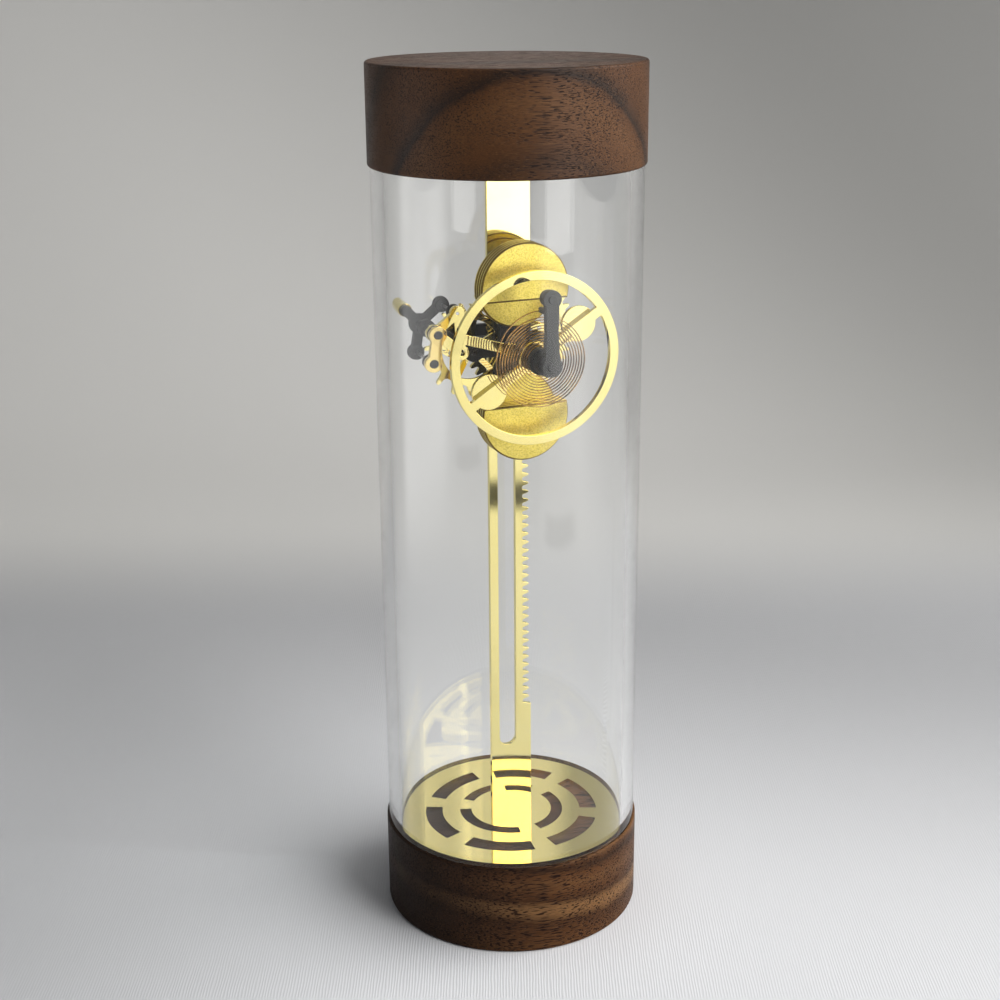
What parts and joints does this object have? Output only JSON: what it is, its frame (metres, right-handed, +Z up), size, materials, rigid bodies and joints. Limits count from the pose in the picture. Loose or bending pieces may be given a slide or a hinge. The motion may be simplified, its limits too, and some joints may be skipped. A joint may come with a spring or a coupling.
{
  "type": "mechanical hourglass",
  "caption": "Mechanical hourglass: a brass balance movement geared to a toothed strip creeps down inside a clear tube between two turned walnut caps",
  "frame": {"origin": "middle of the lower cap's underside, where the timer stands", "axes": "+Z up the tube, +X across the strip to its toothed edge, -Y towards the balance"},
  "size_m": [0.062, 0.062, 0.204],
  "materials": {
    "walnut": "turned walnut, oiled, open pores",
    "glass": "clear, polished",
    "polished_brass": "mirror polished",
    "blasted_brass": "fine bead blasted",
    "dark_metal": "matte dark grey",
    "steel": "turned and polished",
    "spring_bronze": "drawn bronze ribbon"
  },
  "bodies": {
    "stand": {"cap_bottom": "walnut", "cap_top": "walnut", "tube": "glass", "disc_bottom": "polished_brass", "disc_top": "polished_brass", "toothed_strip": "polished_brass"},
    "movement": {"frame_front": "dark_metal", "frame_back": "dark_metal", "guide_shoes": "polished_brass", "shoe_screws": "steel", "weight_discs": "blasted_brass", "weight_plates_1": "blasted_brass", "weight_plates_2": "blasted_brass", "weight_plates_3": "blasted_brass", "weight_plates_4": "blasted_brass", "weight_screws": "steel", "rear_bridge": "dark_metal", "bridge_pillars": "steel", "bridge_screws": "steel", "balance_post": "dark_metal", "balance_cock": "dark_metal", "cock_pin": "dark_metal", "spring_stud": "dark_metal", "hairspring": "spring_bronze"},
    "great_train": {"great_arbor": "steel", "strip_pinion_shrouds": "polished_brass", "strip_pinion_pins_set": "steel", "great_wheel": "polished_brass"},
    "escape_train": {"second_arbor": "steel", "second_pinion_shrouds": "polished_brass", "second_pinion_pins_set": "steel", "escape_wheel": "polished_brass"},
    "pallets": {"pallet_arbor": "dark_metal", "pallet_lever": "polished_brass", "pallet_anchor": "dark_metal", "pallet_pins": "steel", "pallet_collars": "dark_metal", "pallet_link": "polished_brass", "trim_weight": "polished_brass", "trim_screw": "dark_metal"},
    "balance": {"balance_wheel": "polished_brass", "balance_discs": "polished_brass", "balance_hub": "dark_metal", "impulse_pin": "steel"}
  },
  "joints": [
    {"name": "movement_slide", "type": "slide", "parent": "stand", "child": "movement", "axis": [0, 0, 1], "range_m": [-0.082, 0.004]},
    {"name": "great_turn", "type": "hinge", "parent": "movement", "child": "great_train", "pos_m": [0.00697, 0, 0.141], "axis": [0, 1, 0], "range_deg": [-68.25, 1399.06]},
    {"name": "escape_turn", "type": "hinge", "parent": "movement", "child": "escape_train", "pos_m": [-0.00982, 0, 0.141], "axis": [0, 1, 0], "range_deg": [-5596.25, 273]},
    {"name": "balance_swing", "type": "hinge", "parent": "movement", "child": "balance", "pos_m": [0, 0, 0.141], "axis": [0, 1, 0], "range_deg": [-40, 40], "stiffness_Nm_per_rad": 0.00005, "deforming": ["hairspring"]},
    {"name": "pallet_swing", "type": "hinge", "parent": "movement", "child": "pallets", "pos_m": [-0.02073, 0, 0.1473], "axis": [0, 1, 0], "range_deg": [-4.63, 4.63]}
  ],
  "couplings": [
    {"joint": "great_turn", "follows": "movement_slide", "rad_per_m": -297.78},
    {"joint": "escape_turn", "follows": "movement_slide", "rad_per_m": 1191.1},
    {"joint": "pallet_swing", "follows": "balance_swing", "ratio": -0.1155}
  ]
}
